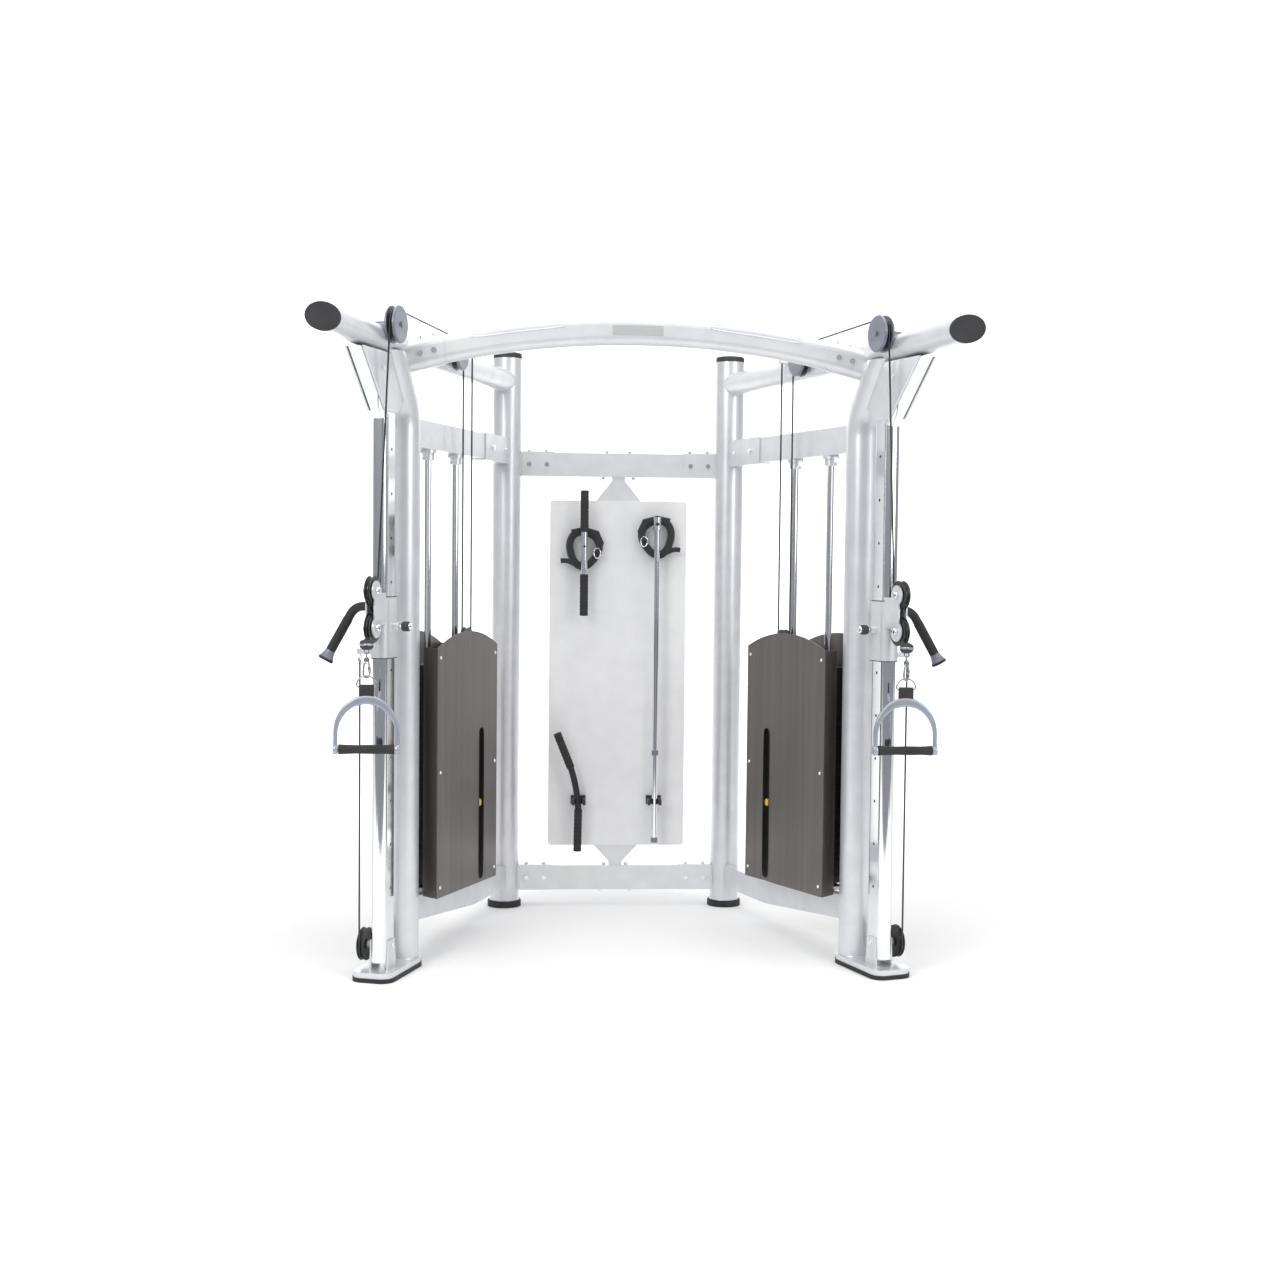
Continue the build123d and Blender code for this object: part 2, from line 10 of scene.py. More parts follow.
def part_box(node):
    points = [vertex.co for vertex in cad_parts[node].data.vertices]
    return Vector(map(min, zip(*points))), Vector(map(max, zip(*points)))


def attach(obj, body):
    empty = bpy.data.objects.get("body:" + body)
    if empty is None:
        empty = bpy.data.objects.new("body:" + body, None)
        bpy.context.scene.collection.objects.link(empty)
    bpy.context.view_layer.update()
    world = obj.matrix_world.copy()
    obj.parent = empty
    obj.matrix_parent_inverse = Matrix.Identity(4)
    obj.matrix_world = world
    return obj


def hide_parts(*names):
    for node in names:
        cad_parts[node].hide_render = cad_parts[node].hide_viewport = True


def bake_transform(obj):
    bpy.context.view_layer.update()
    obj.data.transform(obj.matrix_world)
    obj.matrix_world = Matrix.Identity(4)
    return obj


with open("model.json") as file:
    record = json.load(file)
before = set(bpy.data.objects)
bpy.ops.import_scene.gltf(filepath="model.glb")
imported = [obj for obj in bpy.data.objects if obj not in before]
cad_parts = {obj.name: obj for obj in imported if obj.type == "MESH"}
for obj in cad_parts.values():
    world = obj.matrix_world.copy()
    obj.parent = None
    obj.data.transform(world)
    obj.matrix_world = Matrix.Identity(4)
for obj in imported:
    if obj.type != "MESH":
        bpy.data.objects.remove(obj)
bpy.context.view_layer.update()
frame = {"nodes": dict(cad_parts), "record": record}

SIDES = {"left": -1, "right": 1}
REAR_X = 0.445
REAR_Y = 0.768
WING = atan2(0.340, 1.015)
CABLE_R = 0.0031
GUIDE_U = 1.235
PIN_Z = 1.170
SHROUD_FACE = 0.1125
SLOT_U, SLOT_Z = 0.592, 0.500
SHARP_ANGLE = 0.7


def wing(side, u, v, z):
    """A point in a wing's own axes: u forward from the rear post, v inward, z up."""
    x = -REAR_X - u * sin(WING) + v * cos(WING)
    y = REAR_Y - u * cos(WING) - v * sin(WING)
    return Vector((x if side < 0 else -x, y, z))


def inward(side):
    """The direction along a wing's pulley axles."""
    return Vector((-side * cos(WING), -sin(WING), 0))


def middle(node):
    low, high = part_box(node)
    return (low + high) / 2


# Materials
def new_material(name):
    material = bpy.data.materials.new(name)
    material.use_nodes = True
    nodes = material.node_tree.nodes
    return material, nodes, material.node_tree.links, nodes["Principled BSDF"]


def coords(nodes, links, scale=(1, 1, 1)):
    texture = nodes.new("ShaderNodeTexCoord")
    mapping = nodes.new("ShaderNodeMapping")
    mapping.inputs["Scale"].default_value = scale
    links.new(texture.outputs["Object"], mapping.inputs["Vector"])
    return mapping.outputs["Vector"]


def noise(nodes, links, vector, scale, detail=4):
    node = nodes.new("ShaderNodeTexNoise")
    node.inputs["Scale"].default_value = scale
    node.inputs["Detail"].default_value = detail
    links.new(vector, node.inputs["Vector"])
    return node.outputs["Fac"]


def ramp(nodes, links, fac, low, high, start=0.3, stop=0.7):
    node = nodes.new("ShaderNodeValToRGB")
    node.color_ramp.elements[0].position = start
    node.color_ramp.elements[0].color = (*low, 1)
    node.color_ramp.elements[1].position = stop
    node.color_ramp.elements[1].color = (*high, 1)
    links.new(fac, node.inputs["Fac"])
    return node.outputs["Color"]


def bump(nodes, links, height, shader, strength, distance):
    node = nodes.new("ShaderNodeBump")
    node.inputs["Strength"].default_value = strength
    node.inputs["Distance"].default_value = distance
    links.new(height, node.inputs["Height"])
    links.new(node.outputs["Normal"], shader.inputs["Normal"])


def surface(name, colour, metallic, rough, vary=0.08, grain=900, strength=0.08, stretch=(1, 1, 1),
            coat=0.0, cloud=14):
    """Base colour with slow variation, a fine grain in the roughness and a small bump."""
    material, nodes, links, shader = new_material(name)
    vector = coords(nodes, links, stretch)
    slow = noise(nodes, links, vector, cloud)
    low = [c * (1 - vary) for c in colour]
    high = [min(1, c * (1 + vary)) for c in colour]
    links.new(ramp(nodes, links, slow, low, high), shader.inputs["Base Color"])
    fine = noise(nodes, links, vector, grain, 6)
    spread = nodes.new("ShaderNodeMapRange")
    spread.inputs["To Min"].default_value = max(0.02, rough - 0.07)
    spread.inputs["To Max"].default_value = min(1, rough + 0.07)
    links.new(fine, spread.inputs["Value"])
    links.new(spread.outputs["Result"], shader.inputs["Roughness"])
    shader.inputs["Metallic"].default_value = metallic
    shader.inputs["Coat Weight"].default_value = coat
    bump(nodes, links, fine, shader, strength, 0.0004)
    return material


def webbing(name, colour, threads=900):
    """Woven cloth: two crossed waves raise the threads."""
    material, nodes, links, shader = new_material(name)
    vector = coords(nodes, links)
    waves = []
    for direction in ("X", "Z"):
        wave = nodes.new("ShaderNodeTexWave")
        wave.bands_direction = direction
        wave.inputs["Scale"].default_value = threads / tau
        wave.inputs["Distortion"].default_value = 0.4
        links.new(vector, wave.inputs["Vector"])
        waves.append(wave.outputs["Fac"])
    join = nodes.new("ShaderNodeMath")
    join.operation = "MAXIMUM"
    links.new(waves[0], join.inputs[0])
    links.new(waves[1], join.inputs[1])
    dark = [c * 0.5 for c in colour]
    links.new(ramp(nodes, links, join.outputs[0], dark, colour, 0.2, 0.9), shader.inputs["Base Color"])
    shader.inputs["Roughness"].default_value = 0.85
    shader.inputs["Sheen Weight"].default_value = 0.4
    bump(nodes, links, join.outputs[0], shader, 0.5, 0.0006)
    return material


def make_materials():
    return {
        "silver_paint": surface("silver_paint", (0.71, 0.725, 0.75), 0.5, 0.34, 0.05, 2600, 0.10, coat=0.35),
        "white_silver_paint": surface("white_silver_paint", (0.78, 0.79, 0.805), 0.35, 0.36, 0.04, 2600, 0.10,
                                      coat=0.35),
        "panel_paint": surface("panel_paint", (0.86, 0.862, 0.868), 0.1, 0.45, 0.03, 1800, 0.12, coat=0.2),
        "chrome": surface("chrome", (0.86, 0.87, 0.89), 1.0, 0.09, 0.02, 300, 0.01),
        "black_rubber": surface("black_rubber", (0.018, 0.018, 0.019), 0.0, 0.62, 0.25, 1500, 0.45),
        "black_plastic": surface("black_plastic", (0.032, 0.032, 0.035), 0.0, 0.5, 0.2, 1300, 0.5),
        "bronze_sheet": surface("bronze_sheet", (0.165, 0.15, 0.145), 0.85, 0.36, 0.12, 420, 0.12,
                                stretch=(9, 9, 0.35), cloud=3),
        "cover_grey": surface("cover_grey", (0.20, 0.215, 0.265), 0.25, 0.36, 0.08, 900, 0.08, coat=0.5),
        "black_steel": surface("black_steel", (0.026, 0.026, 0.03), 0.3, 0.42, 0.2, 1100, 0.3),
        "black_fabric": webbing("black_fabric", (0.028, 0.028, 0.03)),
        "cable_black": surface("cable_black", (0.02, 0.02, 0.022), 0.0, 0.38, 0.2, 700, 0.1, coat=0.3),
        "black_nylon": surface("black_nylon", (0.014, 0.014, 0.015), 0.0, 0.33, 0.2, 900, 0.12, coat=0.2),
        "yellow_plastic": surface("yellow_plastic", (0.78, 0.52, 0.03), 0.0, 0.32, 0.06, 700, 0.08, coat=0.4),
        "bow_aluminium": surface("bow_aluminium", (0.40, 0.435, 0.50), 0.65, 0.36, 0.06, 1400, 0.10,
                                 coat=0.2),
        "zinc_steel": surface("zinc_steel", (0.40, 0.41, 0.43), 0.95, 0.24, 0.06, 700, 0.04),
        "plate_blank": surface("plate_blank", (0.55, 0.55, 0.56), 0.3, 0.4, 0.03, 900, 0.05),
    }


MATERIALS = make_materials()


def paint(piece, key):
    piece.data.materials.clear()
    piece.data.materials.append(MATERIALS[key])
    return piece


def paint_frame():
    """Every CAD node gets the procedural material of its slot."""
    special = {"accessory_panel": "panel_paint"}
    for part in frame["record"]["subparts"]:
        node = frame["nodes"][part["node"]]
        key = special.get(part["node"], part["material_slot"])
        for place in range(max(1, len(node.material_slots))):
            if place < len(node.material_slots):
                node.material_slots[place].material = MATERIALS[key]
            else:
                node.data.materials.append(MATERIALS[key])


# Mesh helpers
def finish_mesh(name, bm, key, subdivide=0):
    bmesh.ops.recalc_face_normals(bm, faces=bm.faces)
    mesh = bpy.data.meshes.new(name)
    bm.to_mesh(mesh)
    bm.free()
    piece = bpy.data.objects.new(name, mesh)
    bpy.context.scene.collection.objects.link(piece)
    for face in mesh.polygons:
        face.use_smooth = True
    mesh.set_sharp_from_angle(angle=SHARP_ANGLE)
    if subdivide:
        modifier = piece.modifiers.new("round", "SUBSURF")
        modifier.levels = modifier.render_levels = subdivide
    paint(piece, key)
    return piece


def frames(points, closed):
    """Tangents and stable normals along a path."""
    count = len(points)
    tangents = []
    for i in range(count):
        before = points[(i - 1) % count] if closed or i else points[0]
        after = points[(i + 1) % count] if closed or i < count - 1 else points[-1]
        tangents.append((after - before).normalized())
    first = Vector((0, 1, 0)) if abs(tangents[0].y) < 0.9 else Vector((1, 0, 0))
    normal = (first - tangents[0] * first.dot(tangents[0])).normalized()
    normals = [normal]
    for tangent in tangents[1:]:
        normal = (normal - tangent * normal.dot(tangent)).normalized()
        normals.append(normal)
    return tangents, normals


def add_sweep(bm, points, section, closed=False, size=lambda t: (1, 1)):
    """A closed section (list of x, y) carried along points; size(t) scales it from end to end."""
    points = [Vector(p) for p in points]
    tangents, normals = frames(points, closed)
    rings = []
    for i, point in enumerate(points):
        side = tangents[i].cross(normals[i])
        sx, sy = size(i / max(1, len(points) - 1))
        rings.append([bm.verts.new(point + normals[i] * x * sx + side * y * sy) for x, y in section])
    count = len(section)
    for i in range(len(rings) - (0 if closed else 1)):
        a, b = rings[i], rings[(i + 1) % len(rings)]
        for k in range(count):
            bm.faces.new((a[k], a[(k + 1) % count], b[(k + 1) % count], b[k]))
    if not closed:
        bm.faces.new(rings[0])
        bm.faces.new(list(reversed(rings[-1])))


def circle(radius, count=14):
    return [(radius * cos(tau * k / count), radius * sin(tau * k / count)) for k in range(count)]


def rounded(width, height, corner, per_corner=4):
    section = []
    for k, (sx, sy) in enumerate(((1, 1), (-1, 1), (-1, -1), (1, -1))):
        for step in range(per_corner + 1):
            angle = (k + step / per_corner) * pi / 2
            section.append((sx * (width / 2 - corner) + corner * cos(angle),
                            sy * (height / 2 - corner) + corner * sin(angle)))
    return section


def line(a, b, count=2):
    a, b = Vector(a), Vector(b)
    return [a.lerp(b, i / (count - 1)) for i in range(count)]


def add_lathe(bm, profile, origin, axis, count=40):
    """profile is a list of (distance along axis, radius)."""
    turn = Vector((0, 0, 1)).rotation_difference(Vector(axis)).to_matrix()
    rings = []
    for along, radius in profile:
        rings.append([bm.verts.new(Vector(origin) + turn @ Vector((radius * cos(tau * k / count),
                                                                    radius * sin(tau * k / count), along)))
                      for k in range(count)])
    for a, b in zip(rings, rings[1:]):
        for k in range(count):
            bm.faces.new((a[k], a[(k + 1) % count], b[(k + 1) % count], b[k]))
    bm.faces.new(list(reversed(rings[0])))
    bm.faces.new(rings[-1])


def lathe(name, profile, origin, axis, key, count=40):
    bm = bmesh.new()
    add_lathe(bm, profile, origin, axis, count)
    return finish_mesh(name, bm, key)


def swept(name, points, section, key, closed=False, size=lambda t: (1, 1)):
    bm = bmesh.new()
    add_sweep(bm, points, section, closed, size)
    return finish_mesh(name, bm, key)


def arc(centre, a, b, start, stop, count):
    """Points centre + a cos + b sin from start to stop."""
    return [Vector(centre) + Vector(a) * cos(start + (stop - start) * i / (count - 1))
            + Vector(b) * sin(start + (stop - start) * i / (count - 1)) for i in range(count)]


# Cables: straight strands between the wheels, wraps stay on their wheels
TOP_WHEEL = (1.287, 0.062, 2.150)
REAR_WHEEL = (0.715, 0.062, 2.125)
CAR_U, CAR_V, CAR_HIGH, CAR_LOW, CAR_R = 1.353, 0.010, 1.288, 1.168, 0.043
BASE_WHEEL = (1.222, -0.068, 0.104)
GROOVE_R = 0.050
FLOAT_WHEEL = (0.620, 0.062, 1.096)
FLOAT_R = 0.045


def strand(name, a, b, nodes=()):
    piece = swept(name, line(a, b, 40), circle(CABLE_R), "cable_black")
    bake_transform(piece)
    if nodes:
        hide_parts(*nodes)
    return piece


def wrap(name, side, wheel, radius, start, stop, body):
    """A cable arc on a wheel; the angle runs from forward (u) towards up."""
    u, v, z = wheel
    forward = wing(side, 1, 0, 0) - wing(side, 0, 0, 0)
    points = arc(wing(side, u, v, z), forward * radius, Vector((0, 0, radius)), start, stop, 20)
    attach(swept(name, points, circle(CABLE_R), "cable_black"), body)


def cables():
    for name, side in SIDES.items():
        carriage = name + "_carriage_body"
        tu, tv, tz = TOP_WHEEL
        strand(name + "_cable_top", wing(side, tu + GROOVE_R, tv, tz),
               wing(side, CAR_U - CAR_R, CAR_V, CAR_HIGH), [name + "_upper_cable"])
        bu, bv, bz = BASE_WHEEL
        clamp_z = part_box(name + "_lower_cable")[1].z
        strand(name + "_cable_low", wing(side, bu + GROOVE_R, bv, bz),
               wing(side, bu + GROOVE_R, bv, clamp_z), [name + "_lower_cable"])
        fu, fv, fz = FLOAT_WHEEL
        ru, rv, rz = REAR_WHEEL
        strand(name + "_cable_lift", wing(side, ru - GROOVE_R, rv, rz), wing(side, ru - GROOVE_R, rv, fz),
               [name + "_lift_cable"])
        strand(name + "_cable_anchor", wing(side, fu - FLOAT_R, fv, rz), wing(side, fu - FLOAT_R, fv, fz))
        hang = CAR_U + CAR_R
        strand(name + "_cable_hang", wing(side, hang, CAR_V, CAR_LOW), wing(side, hang, CAR_V, 1.122))
        wrap(name + "_wrap_top", side, TOP_WHEEL, GROOVE_R, 0, pi / 2, "root")
        wrap(name + "_wrap_rear", side, REAR_WHEEL, GROOVE_R, pi / 2, pi, "root")
        wrap(name + "_wrap_base", side, BASE_WHEEL, GROOVE_R, -pi / 2, 0, "root")
        wrap(name + "_wrap_float", side, FLOAT_WHEEL, FLOAT_R, pi, tau, name + "_stack_body")
        cross = atan2(CAR_R * 2, CAR_HIGH - CAR_LOW)
        wrap(name + "_wrap_upper", side, (CAR_U, CAR_V, CAR_HIGH), CAR_R, pi, tau - cross, carriage)
        wrap(name + "_wrap_lower", side, (CAR_U, CAR_V, CAR_LOW), CAR_R, 0, pi - cross, carriage)
        join = [wing(side, CAR_U + s * CAR_R * cos(cross), CAR_V, z + k * CAR_R * sin(cross))
                for s, z, k in ((1, CAR_HIGH, -1), (-1, CAR_LOW, 1))]
        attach(swept(name + "_wrap_cross", join, circle(CABLE_R), "cable_black"), carriage)


# Hanging handle
BALL_Z = 1.116
GRIP_Z = 0.778


def handles():
    for name, side in SIDES.items():
        body = name + "_handle_body"
        hang = wing(side, CAR_U + CAR_R, CAR_V, 0)

        def at(x, y, z):
            return hang + Vector((x, y, z))

        ball = lathe(name + "_ball_stop", [(-0.0175, 0.004), (-0.016, 0.014), (-0.010, 0.021), (0, 0.0245),
                                           (0.010, 0.021), (0.016, 0.012), (0.0185, 0.0045), (0.024, 0.004)],
                     at(0, 0, BALL_Z), (0, 0, 1), "black_plastic")
        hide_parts(name + "_handle_hook")
        band = lathe(name + "_ball_band",
                     [(-0.003, 0.0240), (-0.002, 0.0251), (0.002, 0.0251), (0.003, 0.0240)],
                     at(0, 0, BALL_Z), (0, 0, 1), "chrome")
        pieces = [ball, band]
        bm = bmesh.new()
        for step in range(3):
            a, b = ((0.0075, 0, 0), (0, 0.0075, 0))[step % 2], (0, 0, 0.0105)
            link = arc(at(0, 0, 1.0945 - 0.0145 * step), a, b, 0, tau, 25)[:-1]
            add_sweep(bm, link, circle(0.002, 8), True)
        pieces.append(finish_mesh(name + "_chain", bm, "zinc_steel"))
        snap = [(0, 1.064), (0.007, 1.060), (0.010, 1.048), (0.0125, 1.024), (0.009, 1.013), (0, 1.009),
                (-0.009, 1.013), (-0.0125, 1.024), (-0.010, 1.048), (-0.007, 1.060)]
        bm = bmesh.new()
        add_sweep(bm, smooth_loop([at(x * 0.77, x * 0.64, z) for x, z in snap]), circle(0.0032, 10), True)
        add_lathe(bm, [(0, 0.0042), (0.002, 0.0052), (0.018, 0.0052), (0.020, 0.0042)],
                  at(0.0090, 0.0075, 1.028), (-0.077, -0.064, 1), 14)
        add_lathe(bm, [(0, 0.003), (0.003, 0.006), (0.010, 0.006), (0.013, 0.003)], at(0, 0, 1.060),
                  (0, 0, 1), 14)
        pieces.append(finish_mesh(name + "_carabiner", bm, "zinc_steel"))
        ring = arc(at(0, 0, 0.987), (0.031, 0, 0), (0, 0, 0.028), 0, pi, 24)
        ring += [at(-0.031, 0, 0.983), at(-0.027, 0, 0.980), at(0.027, 0, 0.980), at(0.031, 0, 0.983)]
        pieces.append(swept(name + "_strap_ring", ring, circle(0.0028, 10), "zinc_steel", True))
        pieces.append(handle_strap(name, at))
        bow = handle_bow(name, at)
        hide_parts(name + "_handle_bow")
        pieces.append(bow)
        for end in (-1, 1):
            profile = [(0, 0.004), (0.001, 0.010), (0.003, 0.0125), (0.010, 0.0125), (0.0115, 0.011),
                       (0.012, 0.004)]
            cap = lathe(f"{name}_bow_cap_{end + 1}", profile, at(end * 0.094, 0, GRIP_Z), (end, 0, 0),
                        "chrome")
            pieces.append(cap)
        for piece in pieces:
            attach(piece, body)
        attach(handle_grip(name, at), name + "_grip_body")


def smooth_loop(points, per=4):
    """A closed Catmull-Rom curve through points."""
    count = len(points)
    out = []
    for i in range(count):
        a, b, c, d = (points[(i + k) % count] for k in (-1, 0, 1, 2))
        for step in range(per):
            t = step / per
            out.append(0.5 * (2 * b + (c - a) * t + (2 * a - 5 * b + 4 * c - d) * t * t
                              + (3 * b - a - 3 * c + d) * t ** 3))
    return out


def handle_strap(name, at):
    """A folded webbing loop from the ring round the bow's top."""
    bm = bmesh.new()
    path = [at(0, 0.006, 0.945), at(0, 0.0075, 0.962), at(0, 0.006, 0.978), at(0, 0, 0.9865),
            at(0, -0.006, 0.978), at(0, -0.0075, 0.962), at(0, -0.006, 0.945), at(0, 0, 0.9405)]
    add_sweep(bm, smooth_loop(path, 5), rounded(0.0022, 0.048, 0.001, 2), True)
    for z in (0.958, 0.970):
        for y in (-0.0088, 0.0088):
            stitch = line(at(-0.021, y, z), at(0.021, y, z), 18)
            for a, b in zip(stitch[::2], stitch[1::2]):
                add_sweep(bm, [a, b], circle(0.0005, 6))
    return finish_mesh(name + "_handle_strap", bm, "black_fabric")


def handle_bow(name, at):
    """A D-shaped band: wide and flat over the top, narrowing towards the two ends."""
    half, top, low = 0.099, 0.944, 0.782
    rise = top - low - 0.055
    points = [at(half, 0, low)]
    points += arc(at(0, 0, low + 0.045), (half, 0, 0), (0, 0, rise + 0.004), 0.05, pi - 0.05, 44)
    points += [at(-half, 0, low)]

    def size(t):
        crown = sin(pi * t)
        return 0.80 + 0.20 * crown, 0.50 + 0.52 * crown ** 1.5

    bm = bmesh.new()
    add_sweep(bm, points, rounded(0.019, 0.027, 0.0062), size=size)
    collar = arc(at(0, 0, low + 0.045), (half, 0, 0), (0, 0, rise + 0.004), pi / 2 - 0.34, pi / 2 + 0.34,
                 12)
    add_sweep(bm, collar, rounded(0.0215, 0.0295, 0.0062))
    for end in (-1, 1):
        profile = [(-0.008, 0.006), (-0.0078, 0.0145), (-0.006, 0.016), (0.006, 0.016), (0.0078, 0.0145),
                   (0.008, 0.006)]
        add_lathe(bm, profile, at(end * half, 0, GRIP_Z), (1, 0, 0), 32)
    return finish_mesh(name + "_bow", bm, "bow_aluminium")


def handle_grip(name, at):
    """A rubber sleeve with spiral flutes and flared ends."""
    half, count, steps = 0.0885, 48, 60
    bm = bmesh.new()
    rings = []
    for i in range(steps + 1):
        t = i / steps * 2 - 1
        base = 0.0138 + 0.0032 * abs(t) ** 6
        depth = 0.0011 * max(0, 1 - abs(t) ** 8)
        ring = []
        for k in range(count):
            angle = tau * k / count
            radius = base + depth * cos(8 * angle + 7 * t)
            ring.append(bm.verts.new(at(t * half, radius * cos(angle), GRIP_Z + radius * sin(angle))))
        rings.append(ring)
    for a, b in zip(rings, rings[1:]):
        for k in range(count):
            bm.faces.new((a[k], a[(k + 1) % count], b[(k + 1) % count], b[k]))
    bm.faces.new(rings[0])
    bm.faces.new(list(reversed(rings[-1])))
    grip = finish_mesh(name + "_fluted_grip", bm, "black_rubber")
    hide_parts(name + "_handle_grip")
    return grip


# Carriage details
LEVER_CAP = [(-0.030, 0.0150), (-0.029, 0.0168), (-0.018, 0.0183), (-0.006, 0.0230), (0.000, 0.0252),
             (0.004, 0.0257), (0.0068, 0.0245), (0.0078, 0.0190), (0.0080, 0.006)]
LEVER_KNEE, LEVER_TIP = (1.248, -0.096, 1.234), (1.290, -0.180, 1.062)


def carriage_details():
    for name, side in SIDES.items():
        body = name + "_carriage_body"
        axis = inward(side)
        knob = lathe(name + "_pop_knob", [(0, 0.005), (0.001, 0.011), (0.004, 0.0155), (0.012, 0.0165),
                                          (0.022, 0.0165), (0.028, 0.0145), (0.030, 0.010), (0.031, 0.005)],
                     wing(side, GUIDE_U, 0.064, PIN_Z), axis, "black_plastic")
        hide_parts(name + "_pop_pin")
        tip = lathe(name + "_pop_tip",
                    [(0, 0.006), (0.001, 0.0125), (0.005, 0.0125), (0.008, 0.010), (0.009, 0.004)],
                    wing(side, GUIDE_U, 0.093, PIN_Z), axis, "chrome")
        stem = lathe(name + "_pop_stem", [(0, 0.0045), (0.001, 0.005), (0.037, 0.005), (0.038, 0.0045)],
                     wing(side, GUIDE_U, 0.0277, PIN_Z), axis, "chrome")
        for piece in (knob, tip, stem):
            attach(piece, name + "_pop_pin_body")
        for z in (CAR_HIGH, CAR_LOW):
            for v, way in ((0.034, 1), (-0.014, -1)):
                cap = lathe(f"{name}_axle_cap_{int(z * 1000)}_{way + 1}",
                            [(-0.004, 0.0125), (0.002, 0.0125), (0.005, 0.0105), (0.0065, 0.005)],
                            wing(side, CAR_U, v, z), axis * way, "chrome")
                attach(cap, body)
        for z in (1.0650, 1.2670):
            outline = [wing(side, GUIDE_U + x, y, z) for x, y in rounded(0.1115, 0.0655, 0.0298, 8)]
            bush = swept(f"{name}_bush_{int(z * 1000)}", outline, circle(0.0016, 8), "black_nylon", True)
            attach(bush, body)
        ferrule = lathe(name + "_cable_ferrule",
                        [(0, 0.004), (0.001, 0.0065), (0.022, 0.0065), (0.026, 0.004)],
                        wing(side, BASE_WHEEL[0] + GROOVE_R, BASE_WHEEL[1], 1.052), (0, 0, 1), "chrome")
        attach(ferrule, body)
        tip_centre = wing(side, *LEVER_TIP)
        way = (tip_centre - wing(side, *LEVER_KNEE)).normalized()
        end = lathe(name + "_lever_cap", LEVER_CAP, tip_centre, way, "cover_grey")
        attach(end, body)
        bm = bmesh.new()
        ribbed(bm, tip_centre - way * 0.150, tip_centre - way * 0.028, 0.0166, 20)
        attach(finish_mesh(name + "_lever_grip", bm, "black_rubber"), body)


# Panel accessories
def ribbed(bm, a, b, radius, ribs):
    """A rubber sleeve with raised rings from a to b."""
    a, b = Vector(a), Vector(b)
    length = (b - a).length
    profile = [(0, radius * 0.7), (0.001, radius)]
    pitch = (length - 0.006) / ribs
    for i in range(ribs):
        base = 0.003 + i * pitch
        profile += [(base, radius * 0.93), (base + pitch * 0.25, radius), (base + pitch * 0.75, radius),
                    (base + pitch * 0.98, radius * 0.93)]
    profile += [(length - 0.001, radius), (length, radius * 0.7)]
    add_lathe(bm, profile, a, b - a, 32)


def bars():
    low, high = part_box("straight_bar")
    x, y = (low.x + high.x) / 2, (low.y + high.y) / 2
    core = lathe("straight_bar_core", [(0, 0.011), (0.001, 0.0125), (0.189, 0.0125), (0.19, 0.011)],
                 (x, y, 1.326), (0, 0, 1), "chrome")
    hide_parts("straight_bar")
    bm = bmesh.new()
    ribbed(bm, (x, y, low.z), (x, y, low.z + 0.165), 0.0165, 11)
    ribbed(bm, (x, y, high.z - 0.165), (x, y, high.z), 0.0165, 11)
    grips = finish_mesh("straight_bar_grips", bm, "black_rubber")
    loop = arc((x, y + 0.004, 1.448), (0.0115, 0, 0), (0, 0, 0.0115), 0, tau, 33)[:-1]
    eye = swept("straight_bar_eye", loop, circle(0.0035, 10), "chrome", True)
    for piece in (core, grips, eye):
        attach(piece, "straight_bar_body")
    low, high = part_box("long_bar")
    x, y = (low.x + high.x) / 2, (low.y + high.y) / 2
    for step, z in enumerate((low.z, 0.62)):
        cap = lathe(f"long_bar_ring_{step}",
                    [(0, 0.0112), (0.001, 0.0135), (0.020, 0.0135), (0.021, 0.0112)],
                    (x, y, z), (0, 0, 1), "cover_grey")
        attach(cap, "long_bar_body")
    low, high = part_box("bent_bar")
    y = (low.y + high.y) / 2
    top, knee, foot = Vector((-0.240, y, 0.708)), Vector((-0.152, y, 0.490)), Vector((-0.156, y, 0.236))
    bend = [knee + (top - knee).normalized() * 0.085, knee + (top - knee).normalized() * 0.03,
            knee + (foot - knee).normalized() * 0.03, knee + (foot - knee).normalized() * 0.085]
    curve = [bend[0].lerp(bend[1], t).lerp(bend[2].lerp(bend[3], t), t)
             for t in [i / 12 for i in range(13)]]
    core = swept("bent_bar_core", curve, circle(0.0125, 24), "black_steel")
    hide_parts("bent_bar")
    bm = bmesh.new()
    ribbed(bm, bend[0], top, 0.0160, 9)
    ribbed(bm, bend[3], foot, 0.0160, 10)
    grips = finish_mesh("bent_bar_grips", bm, "black_rubber")
    for piece in (core, grips):
        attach(piece, "bent_bar_body")


